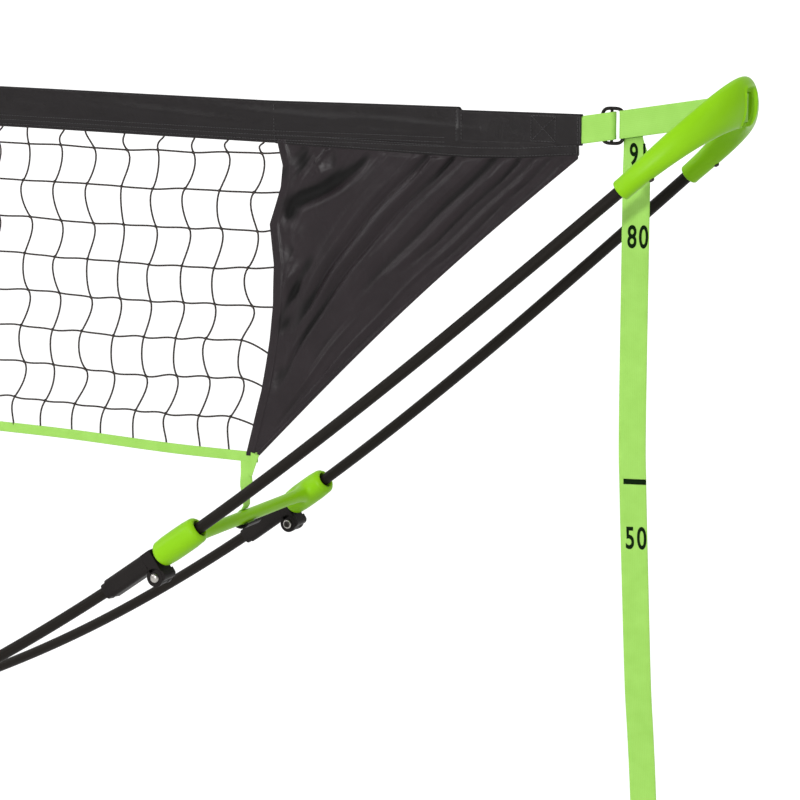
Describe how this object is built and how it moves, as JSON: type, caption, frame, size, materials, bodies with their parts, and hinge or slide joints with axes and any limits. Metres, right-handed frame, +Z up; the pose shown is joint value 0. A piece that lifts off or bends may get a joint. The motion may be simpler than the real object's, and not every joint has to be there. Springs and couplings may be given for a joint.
{
  "type": "portable badminton net",
  "caption": "Free-standing portable net: two bowed black rods, green tip hoods and spreaders, black mesh with cloth wings, and straps that set its height. Both ends fold.",
  "frame": {"origin": "on the ground, below the middle of the net", "axes": "+X along the net towards its right end, +Y to the rear bow, +Z up"},
  "size_m": [3.3496, 0.422, 0.9492],
  "materials": {
    "green_plastic": "moulded, satin to glossy",
    "black_plastic": "moulded, fine grain",
    "rod_fibre": "drawn glass-fibre rod, satin",
    "pin_steel": "zinc-plated",
    "screw_steel": "blackened",
    "pad_rubber": "moulded rubber",
    "black_cloth": "satin-woven polyester",
    "net_cord": "knotted twisted cord",
    "green_webbing": "woven polypropylene webbing"
  },
  "bodies": {
    "frame": {"base_joiner_front": "black_plastic", "base_joiner_rear": "black_plastic", "hinge_socket_front_left": "black_plastic", "hinge_socket_front_right": "black_plastic", "hinge_socket_rear_left": "black_plastic", "hinge_socket_rear_right": "black_plastic", "buckle_left": "black_plastic", "buckle_right": "black_plastic", "foot_pad_front": "pad_rubber", "lower_rod_front_left": "rod_fibre", "lower_rod_front_right": "rod_fibre", "foot_pad_rear": "pad_rubber", "lower_rod_rear_left": "rod_fibre", "lower_rod_rear_right": "rod_fibre", "hinge_pins_left": "pin_steel", "hinge_nuts_left": "pin_steel", "wing_left": "black_cloth", "corner_tie_left": "green_webbing", "adjusting_strap_left": "green_webbing", "hinge_pins_right": "pin_steel", "hinge_nuts_right": "pin_steel", "wing_right": "black_cloth", "corner_tie_right": "green_webbing", "adjusting_strap_right": "green_webbing", "net_mesh": "net_cord", "top_band": "black_cloth", "top_webbing": "green_webbing", "bottom_tape": "green_webbing"},
    "left_arm": {"hinge_tongue_front_left": "black_plastic", "hinge_tongue_rear_left": "black_plastic", "spreader_left": "green_plastic", "upper_rod_front_left": "rod_fibre", "upper_rod_rear_left": "rod_fibre", "tip_hood_left": "green_plastic", "hood_screws_left": "screw_steel", "tie_keeper_left": "black_plastic"},
    "right_arm": {"hinge_tongue_front_right": "black_plastic", "hinge_tongue_rear_right": "black_plastic", "spreader_right": "green_plastic", "upper_rod_front_right": "rod_fibre", "upper_rod_rear_right": "rod_fibre", "tip_hood_right": "green_plastic", "hood_screws_right": "screw_steel", "tie_keeper_right": "black_plastic"}
  },
  "joints": [
    {"name": "fold_right", "type": "hinge", "parent": "frame", "child": "right_arm", "pos_m": [1.09115, 0, 0.42692], "axis": [0, 1, 0], "range_deg": [0, 175], "deforming": ["adjusting_strap_right", "corner_tie_right"]},
    {"name": "fold_left", "type": "hinge", "parent": "frame", "child": "left_arm", "pos_m": [-1.09115, 0, 0.42692], "axis": [0, -1, 0], "range_deg": [0, 175], "deforming": ["adjusting_strap_left", "corner_tie_left"]}
  ]
}
